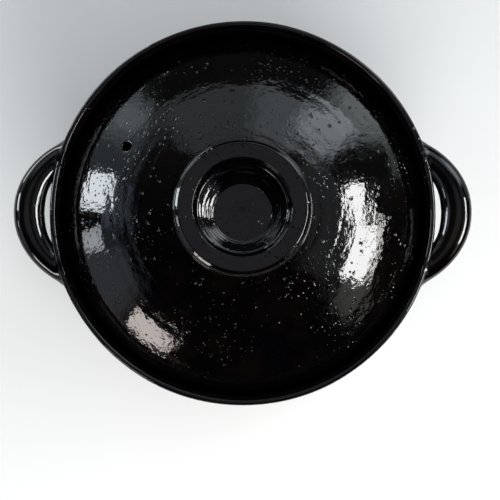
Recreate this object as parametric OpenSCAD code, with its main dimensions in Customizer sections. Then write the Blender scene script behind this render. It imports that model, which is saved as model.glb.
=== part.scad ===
// Lidded clay cooking pot in black glaze, all sizes in millimetres.
// The origin is the centre of the foot ring on the table, with +Z up and a handle on each of +X and -X.
// The domed lid is sunk in a deep collar, rests on a ledge inside it, and lifts straight up.

/* [Pot] */
// Height from the table to the top of the lip
pot_h = 155; // [150:1:165]
// Radius of the outside of the lip
lip_r = 146.5; // [146:0.5:148]
// Thickness of the rounded lip
lip_t = 7; // [6:0.5:8]
// Radius of the outside at the widest part of the belly
belly_r = 139; // [136:1:141]
// Height of the widest part of the belly
belly_z = 80; // [74:1:86]
// Thickness of the belly wall
wall_t = 8; // [7:0.5:10]
// Radius of the outside of the foot ring
foot_r = 78; // [70:1:90]
// Width of the foot ring's flat face
foot_w = 11; // [8:1:16]
// Height of the foot ring
foot_h = 5; // [3:0.5:8]

/* [Collar] */
// Depth of the lid's ledge below the top of the lip
ledge_depth = 24; // [22:1:28]
// Radius of the collar's inner wall where it meets the ledge
ledge_r = 139.5; // [138:0.5:140]
// Radius of the mouth inside the ledge
mouth_r = 126; // [120:1:128]

/* [Handles] */
// Radius of a handle's bend, at the middle of its bar
handle_bend_r = 53.6; // [50:0.1:56]
// Distance from the pot's axis to the centre of a handle's bend
handle_x = 110.2; // [108:0.1:112]
// Height of the centre of a handle's bend
handle_z = 141; // [138:1:142]
// Width of the bar, seen from above
bar_w = 21.5; // [18:0.5:23]
// Thickness of the bar, seen from the side
bar_t = 15; // [12:0.5:16]
// Angle at which a handle rises outwards
handle_tilt = 11; // [0:1:14]

/* [Lid] */
// Radius of the lid's edge
lid_r = 136.5; // [135:0.5:137]
// Radius of the dome's outer surface
dome_r = 230; // [220:1:240]
// Thickness of the dome
dome_t = 8; // [6:0.5:10]
// Height of the lid's rim, from its resting face to where the dome starts
lid_rim_h = 9.5; // [9:0.5:11]
// Radial width of the lid's resting face
lid_rim_w = 9; // [7:0.5:10]
// Diameter of the steam vent
vent_d = 7; // [5:0.5:9]
// Distance of the steam vent from the axis
vent_r = 100; // [90:1:110]
// Direction of the steam vent, anticlockwise from +X
vent_angle = 151; // [0:1:359]

/* [Knob] */
// Radius of the knob ring at its base
knob_base_r = 50.5; // [46:0.5:54]
// Radius of the inside of the knob ring at its top
knob_hole_r = 36.5; // [33:0.5:39]
// Radius of the floor of the finger recess
recess_r = 21.5; // [18:0.5:26]
// Height of the knob's top above the lip
knob_rise = 34; // [32:1:36]
// Depth of the finger recess below the knob's top
recess_depth = 14; // [13:0.5:16]
// Radius at which the recess turns from its shallow bowl to its steep side
bowl_r = 35; // [30:0.5:36]
// Height of the shallow bowl above the recess's floor
bowl_h = 6.5; // [4:0.5:8]
// Rounding of the knob's outer shoulder
knob_shoulder_r = 3.5; // [2:0.5:4]

/* [Hidden] */
// Number of straight steps in each curved stretch of the pot's outline
curve_steps = 12;
// Number of straight steps in a rounded edge
edge_steps = 6;
// Space left under the lid's resting face
seat_gap = 0.3;
// Radius of the outside of the collar at its root
collar_root_r = 145.5;
// Height below the ledge at which the outside starts to swell from the belly to the collar
swell_drop = 26;
// Radius of the fillet between the collar and its ledge
ledge_fillet = 3;
// Thickness of the ledge at the mouth
ledge_t = 4;
// Thickness of the pot's floor
floor_t = 9;
// Radius at which the underside of the floor starts to curve up
base_flat_r = 80;
// Radius of the flat of the pot's floor inside
floor_flat_r = 60;
// Thickness of the lid under the finger recess
crown_t = 8;
// Rounding of the lid's lower edge
lid_edge_r = 3;
// Size of the chamfer where the lid's edge meets the foot of the dome
lid_chamfer = 1;
// Rounding of the knob's inner edge
knob_edge_r = 1.5;
// Amount by which a cutting shape passes the face it cuts
over = 1;

$fn = 128;

ledge_z = pot_h - ledge_depth;
lip_mid_r = lip_r - lip_t / 2;
lip_mid_z = pot_h - lip_t / 2;
collar_root_z = ledge_z + ledge_fillet;
lid_z = ledge_z + seat_gap;
dome_foot_z = lid_z + lid_rim_h;
dome_foot_r = lid_r - lid_chamfer;
dome_centre_z = dome_foot_z - sqrt(pow(dome_r, 2) - pow(dome_foot_r, 2));
knob_top_z = pot_h + knob_rise;
recess_z = knob_top_z - recess_depth;
crown_z = recess_z - crown_t;

// Points along part of an ellipse in the radius and height plane
function bend(centre, size, from, to, steps) = [
    for (i = [0:steps])
        let (a = from + (to - from) * i / steps)
            [centre[0] + size[0] * cos(a), centre[1] + size[1] * sin(a)]
];

// Points along a smooth S that starts after one point and ends at another, upright at both ends
function ogee(start, end, steps) = [
    for (i = [1:steps])
        let (t = i / steps)
            [start[0] + (end[0] - start[0]) * (1 - cos(180 * t)) / 2, start[1] + (end[1] - start[1]) * t]
];

// Outside of the pot from the foot up to the root of the collar
outside = concat(
    bend([base_flat_r, belly_z], [belly_r - base_flat_r, belly_z - foot_h], -90, 0, curve_steps),
    ogee([belly_r, ledge_z - swell_drop], [collar_root_r, collar_root_z], curve_steps)
);

// Rounded lip, as far as a given angle from its outer side
function lip(to, steps) = bend([lip_mid_r, lip_mid_z], [lip_t / 2, lip_t / 2], 0, to, steps);

// Collar, ledge and cooking hollow, from the lip down to the axis
inside = concat(
    bend([ledge_r - ledge_fillet, ledge_z + ledge_fillet], [ledge_fillet, ledge_fillet], 0, -90, edge_steps),
    [[mouth_r, ledge_z], [mouth_r, ledge_z - ledge_t]],
    bend(
        [floor_flat_r, belly_z],
        [belly_r - wall_t - floor_flat_r, belly_z - foot_h - floor_t],
        0, -90, curve_steps
    )
);

// Solid bounded by the outside of the pot, without its foot ring or its hollow
module pot_envelope() {
    rotate_extrude()
        polygon(concat([[0, foot_h]], outside, lip(90, edge_steps / 2), [[0, pot_h]]));
}

// Thrown pot: foot ring, belly, flared collar with its ledge, and rounded lip
module pot_body() {
    color([0.05, 0.05, 0.06])
        rotate_extrude() {
            polygon(concat([[0, foot_h]], outside, lip(180, edge_steps), inside, [[0, foot_h + floor_t]]));
            translate([foot_r - foot_w, 0])
                square([foot_w, foot_h]);
        }
}

// Bar section with full round sides, centred on its own middle
module bar_section() {
    square([bar_w - bar_t, bar_t], center = true);
    for (side = [-1, 1])
        translate([side * (bar_w - bar_t) / 2, 0])
            circle(d = bar_t);
}

// Loop handle on the +X side, cut to the wall it is joined to
module handle() {
    difference() {
        translate([handle_x, 0, handle_z])
            rotate([0, -handle_tilt, 0])
                rotate_extrude()
                    translate([handle_bend_r, 0])
                        bar_section();
        pot_envelope();
    }
}

// Handle on the -X side
module handle_left() {
    color([0.06, 0.06, 0.07])
        rotate([0, 0, 180])
            handle();
}

// Handle on the +X side
module handle_right() {
    color([0.06, 0.06, 0.07])
        handle();
}

// Domed lid with a flat resting face, a flat crown under the knob and one steam vent
module lid_dome() {
    color([0.04, 0.04, 0.05])
        difference() {
            union() {
                intersection() {
                    translate([0, 0, dome_centre_z])
                        sphere(r = dome_r);
                    translate([0, 0, dome_foot_z])
                        cylinder(r = dome_foot_r, h = dome_r);
                }
                rotate_extrude()
                    polygon(concat(
                        [[0, lid_z], [lid_r - lid_edge_r, lid_z]],
                        bend([lid_r - lid_edge_r, lid_z + lid_edge_r], [lid_edge_r, lid_edge_r], -90, 0, edge_steps),
                        [[lid_r, dome_foot_z - lid_chamfer], [dome_foot_r, dome_foot_z], [0, dome_foot_z]]
                    ));
            }
            intersection() {
                translate([0, 0, dome_centre_z])
                    sphere(r = dome_r - dome_t);
                translate([0, 0, lid_z - over])
                    cylinder(r = lid_r - lid_rim_w, h = crown_z - lid_z + over);
            }
            translate([0, 0, recess_z])
                cylinder(r = knob_base_r, h = dome_r);
            rotate([0, 0, vent_angle])
                translate([vent_r, 0, lid_z])
                    cylinder(d = vent_d, h = dome_r);
        }
}

// Ring knob that stands in a shallow bed on the crown and frames the finger recess
module lid_knob() {
    color([0.07, 0.07, 0.08])
        rotate_extrude()
            polygon(concat(
                [[recess_r, recess_z], [knob_base_r, recess_z]],
                bend(
                    [knob_base_r - knob_shoulder_r, knob_top_z - knob_shoulder_r],
                    [knob_shoulder_r, knob_shoulder_r],
                    0, 90, edge_steps
                ),
                bend(
                    [knob_hole_r + knob_edge_r, knob_top_z - knob_edge_r],
                    [knob_edge_r, knob_edge_r],
                    90, 180, edge_steps
                ),
                [[bowl_r, recess_z + bowl_h]]
            ));
}

pot_body();
handle_left();
handle_right();
lid_dome();
lid_knob();
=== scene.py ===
# %% [markdown]
# # A lidded clay cooking pot in black glaze
# The pot is five pieces of fired clay: a thrown pot, two pulled loop handles, a domed lid and a ring
# knob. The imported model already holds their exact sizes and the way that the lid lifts. This lesson loads
# it as a frame and then throws each piece again in mesh code, with the marks that hands, a wheel and a
# kiln leave behind.

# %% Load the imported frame
import math
import random

import bmesh
import bpy
from mathutils import Matrix, Vector, kdtree, noise


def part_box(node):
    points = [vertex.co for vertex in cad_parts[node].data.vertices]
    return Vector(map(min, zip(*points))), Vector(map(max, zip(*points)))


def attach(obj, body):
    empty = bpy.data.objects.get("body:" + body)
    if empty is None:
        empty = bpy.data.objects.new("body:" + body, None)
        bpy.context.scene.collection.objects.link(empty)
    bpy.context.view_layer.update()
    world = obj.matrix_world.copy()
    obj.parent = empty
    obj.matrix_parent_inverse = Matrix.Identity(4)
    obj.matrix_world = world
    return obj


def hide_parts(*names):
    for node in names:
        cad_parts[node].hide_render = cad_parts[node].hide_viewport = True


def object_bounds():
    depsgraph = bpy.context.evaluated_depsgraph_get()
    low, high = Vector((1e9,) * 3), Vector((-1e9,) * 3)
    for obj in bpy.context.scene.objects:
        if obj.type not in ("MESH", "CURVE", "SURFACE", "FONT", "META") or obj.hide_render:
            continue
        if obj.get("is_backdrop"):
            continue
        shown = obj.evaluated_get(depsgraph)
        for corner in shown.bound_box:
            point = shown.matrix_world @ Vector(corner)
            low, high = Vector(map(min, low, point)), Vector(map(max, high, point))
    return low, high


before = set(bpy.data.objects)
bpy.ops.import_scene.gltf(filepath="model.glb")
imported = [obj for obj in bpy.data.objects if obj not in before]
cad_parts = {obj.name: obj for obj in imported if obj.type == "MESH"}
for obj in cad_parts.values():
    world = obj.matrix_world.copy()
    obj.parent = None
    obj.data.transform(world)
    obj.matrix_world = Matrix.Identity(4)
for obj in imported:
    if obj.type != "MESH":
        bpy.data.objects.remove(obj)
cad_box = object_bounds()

scene = bpy.context.scene
MM = 0.001
print("nodes:", ", ".join(sorted(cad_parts)))

# %% [markdown]
# ## Camera
# The pot is looked at from almost straight above, a little from the cook's side. A long lens keeps the
# circles round. The camera comes first, because every later choice is judged through it.

# %% Look down into the collar
CAMERA_ELEVATION = math.radians(85.9)
CAMERA_DISTANCE = 1.2
CAMERA_AIM = Vector((0.0055, -0.0294, 0.155))
LENS_LENGTH, FILM_WIDTH = 114.2, 36

camera_data = bpy.data.cameras.new("camera")
camera_data.lens = LENS_LENGTH
camera_data.sensor_width = FILM_WIDTH
camera = bpy.data.objects.new("camera", camera_data)
towards_camera = Vector((0, -math.cos(CAMERA_ELEVATION), math.sin(CAMERA_ELEVATION)))
camera.location = CAMERA_AIM + CAMERA_DISTANCE * towards_camera
camera.rotation_euler = (math.pi / 2 - CAMERA_ELEVATION, 0, 0)
scene.collection.objects.link(camera)
scene.camera = camera
print("camera at", [round(c, 3) for c in camera.location])

# %% [markdown]
# ## Measures
# Outer sizes are read from the frame. What the frame's boxes can't tell, such as the walls' thickness and
# the curve of the dome, is written here.

# %% Measures from the frame
pot_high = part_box("pot_body")[1]
lid_low, lid_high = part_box("lid_dome")
knob_low, knob_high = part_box("lid_knob")

LIP_R, LIP_Z = pot_high.x, pot_high.z
LID_R, LID_Z = lid_high.x, lid_low.z
KNOB_R, KNOB_Z, RECESS_Z = knob_high.x, knob_high.z, knob_low.z
print(f"lip: {2 * LIP_R / MM:.0f} mm across, {LIP_Z / MM:.0f} mm high")
print(f"lid: {2 * LID_R / MM:.0f} mm across")
print(f"knob: {2 * KNOB_R / MM:.0f} mm across, top at {KNOB_Z / MM:.0f} mm")

# %% Measures of the walls
BELLY_R, BELLY_Z = 139 * MM, 80 * MM
WALL_T = 8 * MM
FOOT_R, FOOT_W, FOOT_H = 78 * MM, 11 * MM, 5 * MM
FLOOR_T = 9 * MM
LEDGE_R, LEDGE_Z, MOUTH_R, LEDGE_T = 139.5 * MM, 131 * MM, 126 * MM, 4 * MM
COLLAR_R, COLLAR_Z = 145.5 * MM, 134 * MM
DOME_R, DOME_T = 230 * MM, 8 * MM
DOME_FOOT_R, DOME_FOOT_Z = LID_R - 1 * MM, LID_Z + 9.5 * MM
DOME_CENTRE_Z = DOME_FOOT_Z - math.sqrt(DOME_R ** 2 - DOME_FOOT_R ** 2)
RECESS_R = 21.5 * MM
CROWN_T = 8 * MM
CROWN_Z = RECESS_Z - CROWN_T


def dome_z(radius, sphere=DOME_R):
    """Height of the dome's outer surface, or of another sphere with the same centre."""
    return DOME_CENTRE_Z + math.sqrt(sphere ** 2 - radius ** 2)


dome_rise = dome_z(KNOB_R) - DOME_FOOT_Z
print(f"the dome rises {dome_rise / MM:.1f} mm from its foot to the knob")

# %% [markdown]
# ## Outlines
# A thrown piece is one outline turned about an axis. An outline here is a short list of points, radius
# and height, with every round stretch written as part of an ellipse.


# %% Round stretches
def bend(centre, size, start, end, steps=8):
    """Points along part of an ellipse, with angles in degrees."""
    points = []
    for i in range(steps + 1):
        angle = math.radians(start + (end - start) * i / steps)
        points.append((centre[0] + size[0] * math.cos(angle), centre[1] + size[1] * math.sin(angle)))
    return points


def ogee(start, end, steps=12):
    """Points along a smooth S that is upright at both ends."""
    points = []
    for i in range(steps + 1):
        t = i / steps
        ease = (1 - math.cos(math.pi * t)) / 2
        points.append((start[0] + (end[0] - start[0]) * ease, start[1] + (end[1] - start[1]) * t))
    return points


def smooth(low, high, value):
    """Rises smoothly from 0 at low to 1 at high."""
    t = min(max((value - low) / (high - low), 0), 1)
    return t * t * (3 - 2 * t)


# %% [markdown]
# ## Turning on the wheel
# A bmesh starts from the outline's own points and edges. Long stretches get points in between, so that
# the wall has enough of them to carry throwing marks. One spin sweeps the outline through a narrow
# sector, and a second spin repeats that sector right round the axis, which is much quicker than one long
# sweep. Points that meet are merged, and the normals are recalculated so that the clay faces outwards.


# %% Spin an outline
SECTORS = 16
TOUCHING = 1e-6


def turned(outline, spacing, steps):
    """A closed shell of revolution about Z, with no stretch of the outline longer than spacing."""
    bm = bmesh.new()
    last = bm.verts.new((outline[0][0], 0, outline[0][1]))
    for radius, height in outline[1:]:
        start, end = last.co.copy(), Vector((radius, 0, height))
        pieces = math.ceil((end - start).length / spacing)
        for i in range(1, pieces + 1):
            point = bm.verts.new(start.lerp(end, i / pieces))
            bm.edges.new((last, point))
            last = point
    wheel = {"cent": (0, 0, 0), "axis": (0, 0, 1)}
    sector = 2 * math.pi / SECTORS
    rest = 2 * math.pi - sector
    bmesh.ops.spin(bm, geom=bm.verts[:] + bm.edges[:], angle=sector, steps=steps // SECTORS, **wheel)
    swept = bm.verts[:] + bm.edges[:] + bm.faces[:]
    bmesh.ops.spin(bm, geom=swept, angle=rest, steps=SECTORS - 1, use_duplicate=True, **wheel)
    bmesh.ops.remove_doubles(bm, verts=bm.verts[:], dist=TOUCHING)
    bmesh.ops.recalc_face_normals(bm, faces=bm.faces[:])
    return bm


# %% [markdown]
# ## Marks of the wheel
# No thrown wall is a perfect turning. Fingers leave shallow rings that fade in and out around the pot,
# and the whole wall leans in and out a little. Both are small moves of the points along their normals,
# driven by smooth noise.


# %% Rings and wobble
FADE_AROUND = 1.4
FINER_RINGS = 1.8
WOBBLE_WIDTH = 45 * MM


def throw_marks(bm, ring_depth, ring_width, wobble, calm):
    """Moves points along their normals. calm(vertex) is 0 where clay stays true and 1 where it is free."""
    bm.normal_update()
    moves = []
    for vert in bm.verts:
        radius = math.hypot(vert.co.x, vert.co.y)
        turn = math.atan2(vert.co.y, vert.co.x)
        along = (radius + vert.co.z) / ring_width
        drift = Vector((along, FADE_AROUND * math.cos(turn), FADE_AROUND * math.sin(turn)))
        rings = noise.noise(drift) + 0.5 * noise.noise(FINER_RINGS * drift + Vector((9, 4, 2)))
        slow = noise.noise(vert.co / WOBBLE_WIDTH + Vector((3, 8, 1)))
        moves.append(calm(vert) * (ring_depth * rings + wobble * slow))
    for vert, move in zip(bm.verts[:], moves):
        vert.co += move * vert.normal


# %% [markdown]
# ## Pits in the glaze
# Gas bursts through the glaze in the kiln and leaves craters. The ones that can be seen from arm's length
# are real dents: the faces around each pit are subdivided, and their points are pushed down in a small
# bowl with a raised rim.


# %% Dent the surface
PIT_REACH = 1.6
RIM_HEIGHT, RIM_PLACE, RIM_SPREAD = 0.22, 1.15, 0.22


def pit(bm, places, faces, margin):
    """Each place is (point, radius, depth). Only the given faces are subdivided."""
    tree = kdtree.KDTree(len(faces))
    for i, face in enumerate(faces):
        tree.insert(face.calc_center_median(), i)
    tree.balance()
    edges = set()
    for point, radius, _ in places:
        for _, i, _ in tree.find_range(point, radius + margin):
            edges.update(faces[i].edges)
    bmesh.ops.subdivide_edges(bm, edges=sorted(edges, key=lambda e: e.index), cuts=3, use_grid_fill=True)
    bm.normal_update()
    tree = kdtree.KDTree(len(bm.verts))
    for i, vert in enumerate(bm.verts):
        tree.insert(vert.co, i)
    tree.balance()
    bm.verts.ensure_lookup_table()
    moves = {}
    for point, radius, depth in places:
        for _, i, distance in tree.find_range(point, PIT_REACH * radius):
            t = distance / radius
            bowl = -max(1 - t * t, 0) ** 1.5
            rim = RIM_HEIGHT * math.exp(-((t - RIM_PLACE) / RIM_SPREAD) ** 2)
            moves[i] = moves.get(i, 0) + depth * (bowl + rim)
    for i, move in moves.items():
        bm.verts[i].co += move * bm.verts[i].normal
    return len(places)


# %% [markdown]
# ## Glaze and clay
# The glaze is black glass over clay: almost no colour of its own, so all that is seen is what it
# reflects. Its depth comes from relief in the piece's own coordinates: a lumpy skin in three sizes,
# broken rings from throwing, and pinholes in two sizes. The relief is written in millimetres and goes
# into one Bump node.


# %% Node helpers
def add(tree, kind, sockets=None, **settings):
    """Adds a node. A socket's value is either a number or colour, or another node's output."""
    node = tree.nodes.new(kind)
    for key, value in settings.items():
        setattr(node, key, value)
    for key, value in (sockets or {}).items():
        if isinstance(value, bpy.types.NodeSocket):
            tree.links.new(value, node.inputs[key])
        else:
            node.inputs[key].default_value = value
    return node


def calc(tree, operation, *values):
    """A Math node's output."""
    return add(tree, "ShaderNodeMath", dict(enumerate(values)), operation=operation).outputs[0]


def add_up(tree, *values):
    """The sum of several values."""
    total = values[0]
    for value in values[1:]:
        total = calc(tree, "ADD", total, value)
    return total


def ramp(tree, value, low, high, start=0.0, end=1.0):
    """A smooth step from start at low to end at high."""
    sockets = {"Value": value, "From Min": low, "From Max": high, "To Min": start, "To Max": end}
    return add(tree, "ShaderNodeMapRange", sockets, interpolation_type="SMOOTHSTEP").outputs["Result"]


def grain(tree, vector, scale, detail=2.0, roughness=0.5):
    """Smooth noise around 0.5, with scale in waves per metre."""
    sockets = {"Vector": vector, "Scale": scale, "Detail": detail, "Roughness": roughness}
    return add(tree, "ShaderNodeTexNoise", sockets).outputs["Fac"]


def mix_colour(tree, factor, a, b):
    """A colour between a and b."""
    mix = add(tree, "ShaderNodeMix", {0: factor, 6: a, 7: b}, data_type="RGBA")
    return mix.outputs[2]


def blend_value(tree, factor, a, b):
    """Mixes two numbers."""
    return calc(tree, "ADD", calc(tree, "MULTIPLY", a, calc(tree, "SUBTRACT", 1.0, factor)),
                calc(tree, "MULTIPLY", b, factor))


def from_axis(tree, x, y):
    """Distance from the pot's axis."""
    return calc(tree, "SQRT", calc(tree, "ADD", calc(tree, "MULTIPLY", x, x), calc(tree, "MULTIPLY", y, y)))


# %% [markdown]
# The lumpy skin is noise. The broken rings are noise too, stretched around the axis. The pinholes are
# bowls around the points of a cell pattern, wider in some patches than in others.


# %% Relief of the glaze
SWELL = {"scale": 60, "detail": 1.0, "roughness": 0.5, "height": 0.30}
PEEL = {"scale": 200, "detail": 2.0, "roughness": 0.6, "height": 0.15}
SKIN = {"scale": 620, "detail": 1.0, "roughness": 0.5, "height": 0.016}
STREAKS_OUT, STREAKS_AROUND = 420, 5
PATCHES, PATCH_SPREAD = 28, 0.12


def lumps(tree, place, layer, relief):
    """One layer of the lumpy skin, in millimetres."""
    bumps = grain(tree, place, layer["scale"], layer["detail"], layer["roughness"])
    return calc(tree, "MULTIPLY", bumps, layer["height"] * relief)


def wheel_streaks(tree, place):
    """Noise stretched around the axis, so that it breaks into long thin rings."""
    x, y, z = add(tree, "ShaderNodeSeparateXYZ", {"Vector": place}).outputs
    along = calc(tree, "MULTIPLY", calc(tree, "ADD", from_axis(tree, x, y), z), STREAKS_OUT)
    around = calc(tree, "ARCTAN2", y, x)
    across = calc(tree, "MULTIPLY", calc(tree, "COSINE", around), STREAKS_AROUND)
    ahead = calc(tree, "MULTIPLY", calc(tree, "SINE", around), STREAKS_AROUND)
    stretched = add(tree, "ShaderNodeCombineXYZ", {"X": along, "Y": across, "Z": ahead}).outputs[0]
    return grain(tree, stretched, 1.0, 2.0)


def pinholes(tree, place, cells, radius):
    """Bowls around scattered points: 1 at a pit's middle, 0 away from it. radius is in cells."""
    sockets = {"Vector": place, "Scale": cells}
    distance = add(tree, "ShaderNodeTexVoronoi", sockets, feature="F1").outputs["Distance"]
    patches = grain(tree, place, PATCHES, 1.0)
    patchy = ramp(tree, patches, 0.5 - PATCH_SPREAD, 0.5 + PATCH_SPREAD, 0.35 * radius, 1.25 * radius)
    return ramp(tree, calc(tree, "DIVIDE", distance, patchy), 0.25, 1.0, 1.0, 0.0)


# %% The glaze itself
GLAZE_BLACK, GLAZE_BROWN = (0.0004, 0.0004, 0.0007, 1), (0.0019, 0.0011, 0.0009, 1)
GLAZE_ROUGH_LOW, GLAZE_ROUGH_HIGH, PIT_ROUGH = 0.045, 0.10, 0.12
GLAZE_IOR = 1.53
CLAY_BROWN, CLAY_BUFF = (0.36, 0.25, 0.17, 1), (0.50, 0.39, 0.29, 1)
CLAY_ROUGH, CLAY_GRIT, GLAZE_THICKNESS = 0.85, 0.18, 0.45


def glaze(name, relief, streaks, pits, bare=None):
    """Black glaze. relief scales its skin, streaks and pits are in mm, bare gives 1 where clay shows."""
    material = bpy.data.materials.new(name)
    material.use_nodes = True
    tree = material.node_tree
    shader = tree.nodes["Principled BSDF"]
    place = add(tree, "ShaderNodeTexCoord").outputs["Object"]

    skin = [lumps(tree, place, layer, relief) for layer in (SWELL, PEEL, SKIN)]
    rings = calc(tree, "MULTIPLY", wheel_streaks(tree, place), streaks)
    large = pinholes(tree, place, 160, 0.17)
    small = pinholes(tree, place, 300, 0.19)
    holes = add_up(tree, calc(tree, "MULTIPLY", large, -pits), calc(tree, "MULTIPLY", small, -0.5 * pits))
    height = add_up(tree, *skin, rings, holes)

    tint = ramp(tree, grain(tree, place, 35, 3.0), 0.35, 0.75)
    colour = mix_colour(tree, tint, GLAZE_BLACK, GLAZE_BROWN)
    rough = ramp(tree, grain(tree, place, 80, 3.0), 0.3, 0.8, GLAZE_ROUGH_LOW, GLAZE_ROUGH_HIGH)
    rough = calc(tree, "ADD", rough, calc(tree, "MULTIPLY", large, PIT_ROUGH))

    if bare:
        shown = bare(tree, place)
        grit = grain(tree, place, 900, 3.0, 0.7)
        body = ramp(tree, grain(tree, place, 240, 4.0, 0.7), 0.3, 0.7)
        clay = mix_colour(tree, body, CLAY_BROWN, CLAY_BUFF)
        colour = mix_colour(tree, shown, colour, clay)
        rough = blend_value(tree, shown, rough, CLAY_ROUGH)
        clay_height = calc(tree, "ADD", calc(tree, "MULTIPLY", grit, CLAY_GRIT), -GLAZE_THICKNESS)
        height = blend_value(tree, shown, height, clay_height)

    bump = add(tree, "ShaderNodeBump", {"Height": height, "Strength": 1.0, "Distance": MM})
    tree.links.new(colour, shader.inputs["Base Color"])
    tree.links.new(rough, shader.inputs["Roughness"])
    tree.links.new(bump.outputs["Normal"], shader.inputs["Normal"])
    shader.inputs["IOR"].default_value = GLAZE_IOR
    print(name, "has", len(tree.nodes), "nodes")
    return material


# %% [markdown]
# ## Where the clay is left bare
# Glaze would weld the lid to its ledge and the foot to the kiln shelf, so the potter wipes it off there.
# The line above the foot is uneven, because the pot is dipped by hand.


# %% Bare places
DIP_LINE, DIP_WAVE = 11.5 * MM, 14 * MM
WIPE_LINE, WIPE_WAVE = LID_Z + 0.3 * MM, 0.6 * MM


def bare_pot(tree, place):
    """Foot and base below a wavy line, and the part of the ledge that the lid covers."""
    x, y, z = add(tree, "ShaderNodeSeparateXYZ", {"Vector": place}).outputs
    radius = from_axis(tree, x, y)
    wave = calc(tree, "MULTIPLY", calc(tree, "SUBTRACT", grain(tree, place, 18, 2.0), 0.5), DIP_WAVE)
    foot = ramp(tree, calc(tree, "ADD", z, wave), DIP_LINE, DIP_LINE + 0.8 * MM, 1.0, 0.0)
    from_ledge = calc(tree, "ABSOLUTE", calc(tree, "SUBTRACT", z, LEDGE_Z))
    on_ledge = ramp(tree, from_ledge, 0.8 * MM, 1.4 * MM, 1.0, 0.0)
    outside_mouth = ramp(tree, radius, MOUTH_R + 0.5 * MM, MOUTH_R + 1.2 * MM)
    under_lid = ramp(tree, radius, LID_R - 3.5 * MM, LID_R - 2.5 * MM, 1.0, 0.0)
    ledge = calc(tree, "MULTIPLY", on_ledge, calc(tree, "MULTIPLY", outside_mouth, under_lid))
    return calc(tree, "MAXIMUM", foot, ledge)


def bare_lid(tree, place):
    """The lid's resting face."""
    z = add(tree, "ShaderNodeSeparateXYZ", {"Vector": place}).outputs[2]
    wave = calc(tree, "MULTIPLY", calc(tree, "SUBTRACT", grain(tree, place, 60, 2.0), 0.5), WIPE_WAVE)
    return ramp(tree, calc(tree, "ADD", z, wave), WIPE_LINE, WIPE_LINE + 0.3 * MM, 1.0, 0.0)


# %% Four glazes
pot_glaze = glaze("pot_glaze", relief=0.8, streaks=0.08, pits=0.16, bare=bare_pot)
lid_glaze = glaze("lid_glaze", relief=1.0, streaks=0.11, pits=0.26, bare=bare_lid)
knob_glaze = glaze("knob_glaze", relief=0.8, streaks=0.09, pits=0.20)
handle_glaze = glaze("handle_glaze", relief=0.3, streaks=0.01, pits=0.06)

# %% [markdown]
# ## Handing a piece over
# Each finished mesh is linked, given its finish and told which body it rides on, and the plain node it
# stands for is hidden.


# %% Finish a piece
def hand_over(bm, name, material, body, node):
    """Turns a bmesh into a piece of the pot."""
    for face in bm.faces:
        face.smooth = True
    mesh = bpy.data.meshes.new(name)
    bm.to_mesh(mesh)
    bm.free()
    mesh.materials.append(material)
    piece = bpy.data.objects.new(name, mesh)
    scene.collection.objects.link(piece)
    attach(piece, body)
    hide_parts(node)
    triangles = sum(len(face.vertices) - 2 for face in mesh.polygons)
    print(f"{name}: {len(mesh.vertices)} points, {triangles} triangles")


# %% [markdown]
# ## The pot
# The outline starts under the middle of the base, goes round the foot ring, up the belly to the collar
# and over the lip, then down inside past the ledge to the middle of the floor. The lip is rounded
# outside, has a narrow flat crest, and falls away steeply on its inner side.

# %% Shape of the lip
LIP_OUTER, LIP_INNER, LIP_FLAT = 2 * MM, 1.2 * MM, 1 * MM
BEVEL_ANGLE = 140
lip_inner_r = LIP_R - LIP_OUTER - LIP_FLAT
bevel_r = lip_inner_r + LIP_INNER * math.cos(math.radians(BEVEL_ANGLE))
bevel_z = LIP_Z - LIP_INNER + LIP_INNER * math.sin(math.radians(BEVEL_ANGLE))
bevel_drop = (bevel_r - LEDGE_R) * math.tan(math.radians(BEVEL_ANGLE - 90))
bevel_foot_z = bevel_z - bevel_drop
print(f"the lip's inner bevel is {bevel_drop / MM:.1f} mm deep")

# %% Throw the pot
foot_inner = FOOT_R - FOOT_W
FOOT_EDGE = 1.5 * MM
BASE_FLAT_R, FLOOR_FLAT_R = 80 * MM, 60 * MM
SWELL_Z = 105 * MM
LEDGE_FILLET, MOUTH_EDGE = 3 * MM, 1 * MM
pot_outline = [(0, FOOT_H), (foot_inner - FOOT_EDGE, FOOT_H)]
pot_outline += [(foot_inner, FOOT_H - 1.2 * MM)]
pot_outline += bend((foot_inner + FOOT_EDGE, FOOT_EDGE), (FOOT_EDGE, FOOT_EDGE), 180, 270, 4)
pot_outline += bend((FOOT_R - FOOT_EDGE, FOOT_EDGE), (FOOT_EDGE, FOOT_EDGE), -90, 0, 4)
pot_outline += [(FOOT_R, FOOT_H - 1 * MM), (BASE_FLAT_R, FOOT_H)]
pot_outline += bend((BASE_FLAT_R, BELLY_Z), (BELLY_R - BASE_FLAT_R, BELLY_Z - FOOT_H), -90, 0, 40)[1:]
pot_outline += ogee((BELLY_R, SWELL_Z), (COLLAR_R, COLLAR_Z), 14)
pot_outline += bend((LIP_R - LIP_OUTER, LIP_Z - LIP_OUTER), (LIP_OUTER, LIP_OUTER), 0, 90, 8)
pot_outline += bend((lip_inner_r, LIP_Z - LIP_INNER), (LIP_INNER, LIP_INNER), 90, BEVEL_ANGLE, 5)
pot_outline += [(LEDGE_R + 0.4 * MM, bevel_foot_z), (LEDGE_R, bevel_foot_z - 1 * MM)]
fillet_centre = (LEDGE_R - LEDGE_FILLET, LEDGE_Z + LEDGE_FILLET)
pot_outline += bend(fillet_centre, (LEDGE_FILLET, LEDGE_FILLET), 0, -90, 6)
pot_outline += bend((MOUTH_R + MOUTH_EDGE, LEDGE_Z - MOUTH_EDGE), (MOUTH_EDGE, MOUTH_EDGE), 90, 180, 4)
pot_outline += [(MOUTH_R, LEDGE_Z - LEDGE_T)]
hollow_size = (BELLY_R - WALL_T - FLOOR_FLAT_R, BELLY_Z - FOOT_H - FLOOR_T)
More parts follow.
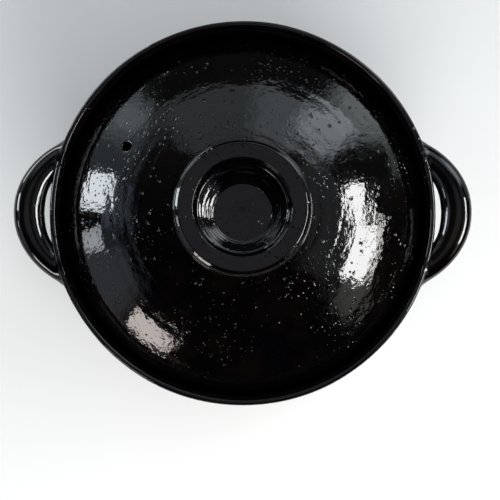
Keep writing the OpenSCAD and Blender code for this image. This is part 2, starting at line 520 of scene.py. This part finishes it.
pot_outline += bend((FLOOR_FLAT_R, BELLY_Z), hollow_size, 0, -90, 32)
pot_outline += [(0, FOOT_H + FLOOR_T)]
pot_mesh = turned(pot_outline, spacing=3.2 * MM, steps=368)


def pot_calm(vert):
    """The foot's face and the ledge stay flat; the lip is nearly true."""
    ledge = 1 - smooth(2 * MM, 6 * MM, abs(vert.co.z - LEDGE_Z))
    on_ledge = ledge if math.hypot(vert.co.x, vert.co.y) < LEDGE_R + 1 * MM else 0
    return smooth(0.5 * MM, 8 * MM, vert.co.z) * (1 - on_ledge)


throw_marks(pot_mesh, ring_depth=0.25 * MM, ring_width=8 * MM, wobble=0.35 * MM, calm=pot_calm)
hand_over(pot_mesh, "thrown_pot", pot_glaze, "pot", "pot_body")

# %% [markdown]
# ## The lid
# The lid is a closed shell too: a flat bed under the knob, the dome, a rounded edge, the resting face and
# the hollow inside.

# %% Throw the lid
BED_R = KNOB_R - 2 * MM
LID_SHOULDER, LID_EDGE, RIM_W = 2.5 * MM, 3 * MM, 9 * MM
lid_outline = [(0, RECESS_Z), (BED_R, RECESS_Z), (BED_R, dome_z(BED_R))]
foot_angle = math.degrees(math.acos(DOME_FOOT_R / DOME_R))
bed_angle = math.degrees(math.acos(BED_R / DOME_R))
lid_outline += bend((0, DOME_CENTRE_Z), (DOME_R, DOME_R), bed_angle, foot_angle, 112)[1:]
lid_outline += bend((LID_R - LID_SHOULDER, DOME_FOOT_Z - 2.8 * MM), (LID_SHOULDER, LID_SHOULDER), 50, 0, 4)
lid_outline += bend((LID_R - LID_EDGE, LID_Z + LID_EDGE), (LID_EDGE, LID_EDGE), 0, -90, 6)
hollow_r = LID_R - RIM_W
hollow_low = math.degrees(math.acos(hollow_r / (DOME_R - DOME_T)))
crown_r = math.sqrt((DOME_R - DOME_T) ** 2 - (CROWN_Z - DOME_CENTRE_Z) ** 2)
hollow_high = math.degrees(math.acos(crown_r / (DOME_R - DOME_T)))
lid_outline += [(hollow_r + 1 * MM, LID_Z), (hollow_r, LID_Z + 1 * MM)]
lid_outline += bend((0, DOME_CENTRE_Z), (DOME_R - DOME_T, DOME_R - DOME_T), hollow_low, hollow_high, 26)
lid_outline += [(0, CROWN_Z)]
lid_mesh = turned(lid_outline, spacing=6 * MM, steps=384)


def lid_calm(vert):
    """The resting face and the bed of the knob stay flat."""
    above = smooth(LID_Z + 1 * MM, LID_Z + 8 * MM, vert.co.z)
    beyond = smooth(KNOB_R - 1 * MM, KNOB_R + 8 * MM, math.hypot(vert.co.x, vert.co.y))
    return above * beyond


throw_marks(lid_mesh, ring_depth=0.14 * MM, ring_width=5 * MM, wobble=0.34 * MM, calm=lid_calm)

# %% [markdown]
# ## The steam vent
# The potter pushes a small pipe straight down through the soft dome. Here the faces over the hole are
# deleted in both walls, the two ragged rims are pulled into circles, rounded by extruding them, and
# bridged.

# %% Cut the vent
VENT_OUT, VENT_TURN = 100 * MM, math.radians(151)
VENT = Vector((VENT_OUT * math.cos(VENT_TURN), VENT_OUT * math.sin(VENT_TURN), 0))
VENT_R = 3.5 * MM
EDGE_ABOVE, EDGE_BELOW = 0.9 * MM, 0.7 * MM


def from_vent(point):
    """Distance from the vent's axis, seen from above."""
    return math.hypot(point.x - VENT.x, point.y - VENT.y)


def cut_rim(bm, upper, outer_r):
    """Deletes one wall's faces over the vent and returns the hole's edges, pulled into a circle."""
    middle = dome_z(VENT.length) - DOME_T / 2
    over = [f for f in bm.faces if from_vent(f.calc_center_median()) < outer_r
            and (f.calc_center_median().z > middle) == upper]
    bmesh.ops.delete(bm, geom=over, context="FACES")
    rim = [e for e in bm.edges if e.is_boundary and (e.verts[0].co.z > middle) == upper]
    sphere = DOME_R if upper else DOME_R - DOME_T
    for vert in {v for e in rim for v in e.verts}:
        away = Vector((vert.co.x - VENT.x, vert.co.y - VENT.y)).normalized() * outer_r
        vert.co.x = VENT.x + away.x
        vert.co.y = VENT.y + away.y
        vert.co.z = dome_z(math.hypot(vert.co.x, vert.co.y), sphere)
    return rim


def round_rim(bm, rim, outer_r, direction):
    """Extrudes a rim in three steps, so that it turns smoothly into the vent's wall."""
    rounding = outer_r - VENT_R
    for angle in (30, 60, 90):
        grown = bmesh.ops.extrude_edge_only(bm, edges=rim)["geom"]
        rim = [e for e in grown if isinstance(e, bmesh.types.BMEdge) and e.is_boundary]
        radius = outer_r - rounding * math.sin(math.radians(angle))
        last = outer_r - rounding * math.sin(math.radians(angle - 30))
        drop = rounding * (math.cos(math.radians(angle - 30)) - math.cos(math.radians(angle)))
        for vert in {v for e in rim for v in e.verts}:
            vert.co.x = VENT.x + (vert.co.x - VENT.x) * radius / last
            vert.co.y = VENT.y + (vert.co.y - VENT.y) * radius / last
            vert.co.z += direction * drop
    return rim


rims = []
for upper, outer_r, direction in ((True, VENT_R + EDGE_ABOVE, -1), (False, VENT_R + EDGE_BELOW, 1)):
    rim = cut_rim(lid_mesh, upper, outer_r)
    rims += round_rim(lid_mesh, rim, outer_r, direction)
bmesh.ops.bridge_loops(lid_mesh, edges=rims)
print("edges still open in the lid:", sum(e.is_boundary for e in lid_mesh.edges))

# %% [markdown]
# The dome's larger pits are scattered with a seeded random generator, so every run gives the same lid.

# %% Pit the dome
PIT_COUNT = 150
PIT_SIZES, PIT_DEPTHS = (0.5, 1.15), (0.25, 0.5)


def on_dome(face):
    """True for a face on the outside of the dome, clear of the knob and of the lid's edge."""
    middle = face.calc_center_median()
    clear = middle.z > DOME_FOOT_Z + 1 * MM and math.hypot(middle.x, middle.y) > KNOB_R + 2 * MM
    return clear and face.normal.z > 0.6


chance = random.Random(7)
dome_faces = [face for face in lid_mesh.faces if on_dome(face)]
dome_pits = []
while len(dome_pits) < PIT_COUNT:
    radius = math.sqrt(chance.uniform((KNOB_R + 5 * MM) ** 2, (LID_R - 4 * MM) ** 2))
    turn = chance.uniform(0, 2 * math.pi)
    size = chance.uniform(*PIT_SIZES) * MM
    depth = size * chance.uniform(*PIT_DEPTHS)
    point = Vector((radius * math.cos(turn), radius * math.sin(turn), dome_z(radius)))
    if from_vent(point) > 8 * MM:
        dome_pits.append((point, size, depth))
print("pits in the dome:", pit(lid_mesh, dome_pits, dome_faces, margin=0.9 * MM))
bmesh.ops.recalc_face_normals(lid_mesh, faces=lid_mesh.faces[:])
hand_over(lid_mesh, "domed_lid", lid_glaze, "lid", "lid_dome")

# %% [markdown]
# ## The knob
# The knob is a ring that the potter throws on the finished dome. It has a facet round its shoulder, a
# broad flat top and a ridged bowl inside for the fingertips, a little off centre, with a sharp edge where
# the bowl meets the recess's flat floor. Slip closes the joint outside.

# %% Throw the knob
HOLE_R, HOLE_EDGE = 36.5 * MM, 0.9 * MM
CORNER, FACET, FACET_ANGLE, SHOULDER = 1.5 * MM, 1.8 * MM, 58, 1.8 * MM
facet_out, facet_up = math.cos(math.radians(FACET_ANGLE)), math.sin(math.radians(FACET_ANGLE))
shoulder_r = KNOB_R - CORNER + (CORNER - SHOULDER) * facet_out - FACET * facet_up
corner_z = KNOB_Z - SHOULDER + (SHOULDER - CORNER) * facet_up - FACET * facet_out
ROOT, SLIP = 1.5 * MM, 1.6 * MM
seam_z = dome_z(KNOB_R)
slip_r = KNOB_R + SLIP
knob_outline = [(RECESS_R, RECESS_Z + 0.05 * MM), (RECESS_R + 0.01 * MM, RECESS_Z - ROOT)]
knob_outline += [(KNOB_R - 2.5 * MM, RECESS_Z - ROOT), (slip_r, dome_z(slip_r) - 0.6 * MM)]
knob_outline += bend((slip_r, seam_z + 1.5 * MM), (SLIP, SLIP), -90, -180, 5)
knob_outline += bend((KNOB_R - CORNER, corner_z), (CORNER, CORNER), 0, FACET_ANGLE, 5)
knob_outline += bend((shoulder_r, KNOB_Z - SHOULDER), (SHOULDER, SHOULDER), FACET_ANGLE, 90, 4)
knob_outline += bend((HOLE_R + HOLE_EDGE, KNOB_Z - HOLE_EDGE), (HOLE_EDGE, HOLE_EDGE), 90, 180, 5)

# %% The bowl inside it
BOWL_R, BOWL_SLOPE = 31.5 * MM, 23
bowl_rise = (BOWL_R - RECESS_R) * math.tan(math.radians(BOWL_SLOPE))
side_h = KNOB_Z - HOLE_EDGE - RECESS_Z - bowl_rise
knob_outline += bend((BOWL_R, RECESS_Z + bowl_rise + side_h), (HOLE_R - BOWL_R, side_h), 0, -70, 8)[1:]
knob_outline += [(BOWL_R, RECESS_Z + bowl_rise), (RECESS_R, RECESS_Z + 0.05 * MM)]
knob_mesh = turned(knob_outline, spacing=0.45 * MM, steps=320)


def knob_calm(vert):
    """Free above the joint, with a nearly true top."""
    return 0.25 + 0.75 * smooth(0, 6 * MM, KNOB_Z - vert.co.z) if vert.co.z > RECESS_Z + 0.5 * MM else 0


throw_marks(knob_mesh, ring_depth=0.13 * MM, ring_width=3.5 * MM, wobble=0.2 * MM, calm=knob_calm)

# %% Ridges of the fingertips
OFF_CENTRE, LEAN = 3.0 * MM, Vector((0.05, 0.08))
RIDGE, RIDGE_WIDTH = 0.06 * MM, 2.7 * MM
for vert in knob_mesh.verts:
    if vert.co.z > RECESS_Z:
        radius = math.hypot(vert.co.x, vert.co.y)
        turn = math.atan2(vert.co.y, vert.co.x)
        inside = smooth(RECESS_R, RECESS_R + 1 * MM, radius) * (1 - smooth(BOWL_R, HOLE_R, radius))
        pressed = 0.15 + 0.85 * smooth(0.2, 0.9, -math.cos(turn))
        wave = 2 * math.pi * (radius - RECESS_R) / RIDGE_WIDTH + 0.8 * math.sin(3 * turn)
        ridge = RIDGE * pressed * math.sin(wave)
        vert.co.z += inside * (ridge - LEAN.dot(vert.co.xy) * (radius - RECESS_R) / radius)
        vert.co.y -= OFF_CENTRE * (1 - smooth(RECESS_R, HOLE_R, radius))
hand_over(knob_mesh, "ring_knob", knob_glaze, "lid", "lid_knob")

# %% [markdown]
# ## The handles
# A handle is a pulled strap of clay, bent into a loop and luted to the collar. A flattened ring is spun
# about the bend's centre, then each line along the strap is stretched until it ends inside the collar's
# wall. The strap narrows towards its roots and flares again where it is smeared on to the pot.

# %% Pull a handle
BEND_R = 53.6 * MM
BEND_CENTRE = Vector((110.2 * MM, 0, 141 * MM))
TILT = Matrix.Rotation(math.radians(-11), 4, "Y")
BAR_W, BAR_T = 21.5 * MM, 15 * MM
WALL_MID = (COLLAR_R + LEDGE_R) / 2
REACH = math.radians(60)
SQUASH = 0.955
SECTION_POINTS, STRAP_STEPS = 56, 150
TIP_WIDTH, NARROWING, FLARE, INNER_BULGE = 1.04, 0.14, 0.30, 1.08
UNEVEN, UNEVEN_WIDTH = 0.35 * MM, 22 * MM


def on_handle(out, up, angle):
    """Point at a section's offset (out, up) and at an angle around the bend from the tip."""
    local = Vector(((BEND_R + out) * math.cos(angle), SQUASH * (BEND_R + out) * math.sin(angle), up))
    return TILT @ local + BEND_CENTRE


def meets_wall(out, up):
    """Angle at which a line along the strap reaches the middle of the collar's wall."""
    low, high = math.radians(20), math.radians(150)
    for _ in range(40):
        middle = (low + high) / 2
        point = on_handle(out, up, middle)
        if math.hypot(point.x, point.y) > WALL_MID:
            low = middle
        else:
            high = middle
    return low


def loop_handle(side, seed):
    """A closed strap on the +X side, or turned to the -X side."""
    bm = bmesh.new()
    ring = bmesh.ops.create_circle(bm, segments=SECTION_POINTS, radius=1)["verts"]
    for vert in ring:
        x, y = vert.co.x, vert.co.y
        vert.co = (BEND_R + x * BAR_W / 2, 0, y * BAR_T / 2)
    bmesh.ops.rotate(bm, verts=ring, cent=(0, 0, 0), matrix=Matrix.Rotation(-REACH, 3, "Z"))
    section = bm.verts[:] + bm.edges[:]
    sweep = {"cent": (0, 0, 0), "axis": (0, 0, 1), "angle": 2 * REACH}
    bmesh.ops.spin(bm, geom=section, steps=STRAP_STEPS, **sweep)
    bmesh.ops.holes_fill(bm, edges=[e for e in bm.edges if e.is_boundary], sides=0)
    bmesh.ops.recalc_face_normals(bm, faces=bm.faces[:])
    for vert in bm.verts:
        turn = math.atan2(vert.co.y, vert.co.x)
        along = turn / REACH
        out, up = math.hypot(vert.co.x, vert.co.y) - BEND_R, vert.co.z
        narrow = TIP_WIDTH - NARROWING * smooth(0.1, 0.8, abs(along))
        flare = 1 + FLARE * smooth(0.80, 1.0, abs(along)) ** 1.6
        inner = INNER_BULGE if out < 0 else 1
        out, up = out * narrow * flare * inner, up * (0.5 + 0.5 * narrow) * flare
        end = meets_wall(out, up)
        vert.co = on_handle(out, up, along * end)
        uneven = noise.noise(vert.co / UNEVEN_WIDTH + Vector((seed, 0, 0)))
        vert.co.z += UNEVEN * uneven * (1 - abs(along))
    if side < 0:
        bmesh.ops.rotate(bm, verts=bm.verts[:], cent=(0, 0, 0), matrix=Matrix.Rotation(math.pi, 3, "Z"))
    return bm


hand_over(loop_handle(1, 2.0), "pulled_handle_right", handle_glaze, "pot", "handle_right")
hand_over(loop_handle(-1, 6.0), "pulled_handle_left", handle_glaze, "pot", "handle_left")

# %% [markdown]
# ## Floor
# A plain pale sheet, far larger than the pot, with a faint mottle so that it isn't one flat colour.

# %% Lay the floor
FLOOR_HALF = 30
FLOOR_SHADE, FLOOR_LIGHT = (0.78, 0.78, 0.78, 1), (0.82, 0.82, 0.82, 1)
FLOOR_ROUGH = 0.7
floor_mesh = bpy.data.meshes.new("floor")
floor_bm = bmesh.new()
bmesh.ops.create_grid(floor_bm, x_segments=2, y_segments=2, size=FLOOR_HALF)
floor_bm.to_mesh(floor_mesh)
floor_bm.free()
floor = bpy.data.objects.new("floor", floor_mesh)
scene.collection.objects.link(floor)
floor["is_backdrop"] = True

floor_paint = bpy.data.materials.new("floor_paint")
floor_paint.use_nodes = True
floor_tree = floor_paint.node_tree
floor_place = add(floor_tree, "ShaderNodeTexCoord").outputs["Object"]
mottle = grain(floor_tree, floor_place, 6, 3.0)
floor_colour = mix_colour(floor_tree, mottle, FLOOR_SHADE, FLOOR_LIGHT)
floor_shader = floor_tree.nodes["Principled BSDF"]
floor_tree.links.new(floor_colour, floor_shader.inputs["Base Color"])
floor_shader.inputs["Roughness"].default_value = FLOOR_ROUGH
floor_mesh.materials.append(floor_paint)

# %% [markdown]
# ## Light
# Black glaze shows the room. Three softboxes on the right stand for a tall window and its sill, three on
# the left for dimmer windows, and one at the front left for a small warm lamp. The front stays dark, as
# it is where a person stands. These seven are for the glaze alone. Two fills, which the glaze doesn't
# mirror, light the floor and the bare clay: a box in front and a wide, soft sun from above.


# %% Softboxes
LIGHT_TARGET = Vector((0, 0, 150 * MM))


def softbox(name, azimuth, zenith, radiance, colour, distance=2.0, mirrored=True):
    """A rectangular light over a range of azimuths and zenith angles, in degrees, as the lid sees them."""
    turn = math.radians(sum(azimuth) / 2)
    lean = math.radians(sum(zenith) / 2)
    direction = Vector((math.sin(lean) * math.cos(turn), math.sin(lean) * math.sin(turn), math.cos(lean)))
    data = bpy.data.lights.new(name, "AREA")
    data.shape = "RECTANGLE"
    data.size = 2 * distance * math.tan(math.radians(azimuth[1] - azimuth[0]) / 2 * math.sin(lean))
    data.size_y = 2 * distance * math.tan(math.radians(zenith[1] - zenith[0]) / 2)
    data.energy = radiance * math.pi * data.size * data.size_y
    data.color = colour
    light = bpy.data.objects.new(name, data)
    light.location = LIGHT_TARGET + distance * direction
    light.rotation_mode = "QUATERNION"
    light.rotation_quaternion = direction.to_track_quat("Z", "Y")
    light.visible_camera = False
    light.visible_glossy = mirrored
    light.visible_diffuse = not mirrored
    scene.collection.objects.link(light)
    print(f"{name}: {data.size:.2f} x {data.size_y:.2f} m, {data.energy:.0f} W")


# %% Windows and lamp for the glaze
softbox("window_right_back", (0, 20), (45.2, 55), 20, (1.0, 1.0, 1.0))
softbox("window_right_front", (-27, -0.5), (46, 57.5), 20, (1.0, 1.0, 1.0))
softbox("window_right_sill", (-24, 3), (58.3, 60.2), 13, (1.0, 0.98, 0.95))
softbox("window_left_back", (158, 173), (59, 73), 15, (0.88, 0.95, 1.0))
softbox("window_left_front", (182, 190), (63, 69.5), 6, (0.90, 0.95, 1.0))
softbox("window_left_low", (116, 150), (76, 86), 9, (0.96, 0.97, 1.0))
softbox("lamp_front_left", (219, 238), (57, 67.5), 10, (1.0, 0.9, 0.86))

# %% Fills for the floor
SKY_STRENGTH, SKY_WIDTH = 1.4, math.radians(100)
softbox("fill_front", (265, 318), (40, 76), 7.5, (1.0, 0.99, 0.96), distance=1.0, mirrored=False)
sky_data = bpy.data.lights.new("fill_sky", "SUN")
sky_data.energy = SKY_STRENGTH
sky_data.angle = SKY_WIDTH
sky_data.color = (0.96, 0.98, 1.0)
sky = bpy.data.objects.new("fill_sky", sky_data)
sky.rotation_euler = (math.radians(16), 0, math.radians(20))
sky.visible_glossy = False
scene.collection.objects.link(sky)

# %% [markdown]
# The room itself is a world shader: soft-edged patches, in degrees around and down from straight up, on a
# dim surround. The glaze mirrors it, and the camera sees a plain backdrop in its place.

# %% Room
world = bpy.data.worlds.new("room")
scene.world = world
world.use_nodes = True
room = world.node_tree
towards = add(room, "ShaderNodeTexCoord").outputs["Generated"]
wx, wy, wz = add(room, "ShaderNodeSeparateXYZ", {"Vector": towards}).outputs
turn_deg = calc(room, "MULTIPLY", calc(room, "ARCTAN2", wy, wx), 180 / math.pi)
azimuth_deg = calc(room, "WRAP", turn_deg, 270.0, -90.0)
zenith_deg = calc(room, "MULTIPLY", calc(room, "ARCCOSINE", wz), 180 / math.pi)
SOFT, CRISP = 6.0, 1.0


def panel(azimuth, zenith, colour):
    """A patch of the room's walls, in degrees, with soft edges and a crisp lower one."""
    left = ramp(room, azimuth_deg, azimuth[0] - SOFT, azimuth[0] + SOFT)
    right = ramp(room, azimuth_deg, azimuth[1] - SOFT, azimuth[1] + SOFT, 1.0, 0.0)
    top = ramp(room, zenith_deg, zenith[0] - SOFT, zenith[0] + SOFT)
    bottom = ramp(room, zenith_deg, zenith[1] - CRISP, zenith[1] + CRISP, 1.0, 0.0)
    wide = calc(room, "MULTIPLY", left, right)
    high = calc(room, "MULTIPLY", top, bottom)
    amount = calc(room, "MULTIPLY", wide, high)
    return add(room, "ShaderNodeVectorMath", {0: colour, "Scale": amount}, operation="SCALE").outputs[0]


BACKDROP = (0.50, 0.51, 0.53, 1)
# Azimuths, zenith angles and colour of each patch
PANELS = (
    ((60, 128), (32, 59.5), (0.46, 0.52, 0.54)),
    ((56, 84), (34, 59.5), (0.55, 0.60, 0.66)),
    ((38, 61), (42, 62), (3.0, 3.3, 3.6)),
    ((34, 56), (62, 77), (1.9, 2.1, 2.1)),
    ((18, 36), (70, 81), (0.8, 0.85, 0.85)),
    ((129, 143), (61, 73), (1.0, 1.2, 1.25)),
    ((130, 158), (50, 79), (0.35, 0.42, 0.46)),
    ((162, 182), (49, 58), (0.7, 0.85, 1.1)),
    ((188, 214), (50, 80), (0.50, 0.53, 0.60)),
    ((214, 245), (70, 80), (0.9, 0.85, 0.8)),
    ((-42, -24), (48, 64), (0.8, 0.8, 0.75)),
    ((-35, 45), (27, 43), (0.24, 0.25, 0.26)),
)
front_dim = ramp(room, wy, -0.35, 0.05, 0.35, 1.0)
ceiling = calc(room, "MULTIPLY", ramp(room, zenith_deg, 8, 22, 0.26, 0.0), front_dim)
sockets = {"X": ceiling, "Y": ceiling, "Z": calc(room, "MULTIPLY", ceiling, 1.12)}
total = add(room, "ShaderNodeCombineXYZ", sockets).outputs[0]
for azimuth, zenith, colour in PANELS:
    patch = panel(azimuth, zenith, colour)
    total = add(room, "ShaderNodeVectorMath", {0: total, 1: patch}, operation="ADD").outputs[0]
below = ramp(room, zenith_deg, 88, 92, 0.0, 0.6)
back_glow = ramp(room, wy, -0.25, 0.5, 0.004, 0.05)
glow = calc(room, "ADD", below, back_glow)
base = add(room, "ShaderNodeCombineXYZ", {"X": glow, "Y": glow, "Z": glow}).outputs[0]
total = add(room, "ShaderNodeVectorMath", {0: total, 1: base}, operation="ADD").outputs[0]
seen = add(room, "ShaderNodeLightPath").outputs["Is Camera Ray"]
total = mix_colour(room, seen, total, BACKDROP)
room.links.new(total, room.nodes["Background"].inputs["Color"])
scene.view_settings.view_transform = "Standard"
print("room has", len(PANELS), "wall panels and", len(room.nodes), "nodes")

# %% [markdown]
# ## Sizes
# The frame's box and the visual model's box are gathered side by side in one dictionary. The visual
# model has to keep to the frame's box, within a small allowance.

# %% Gather the sizes
size = {"cad": [list(corner) for corner in cad_box], "visual": [list(corner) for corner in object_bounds()]}
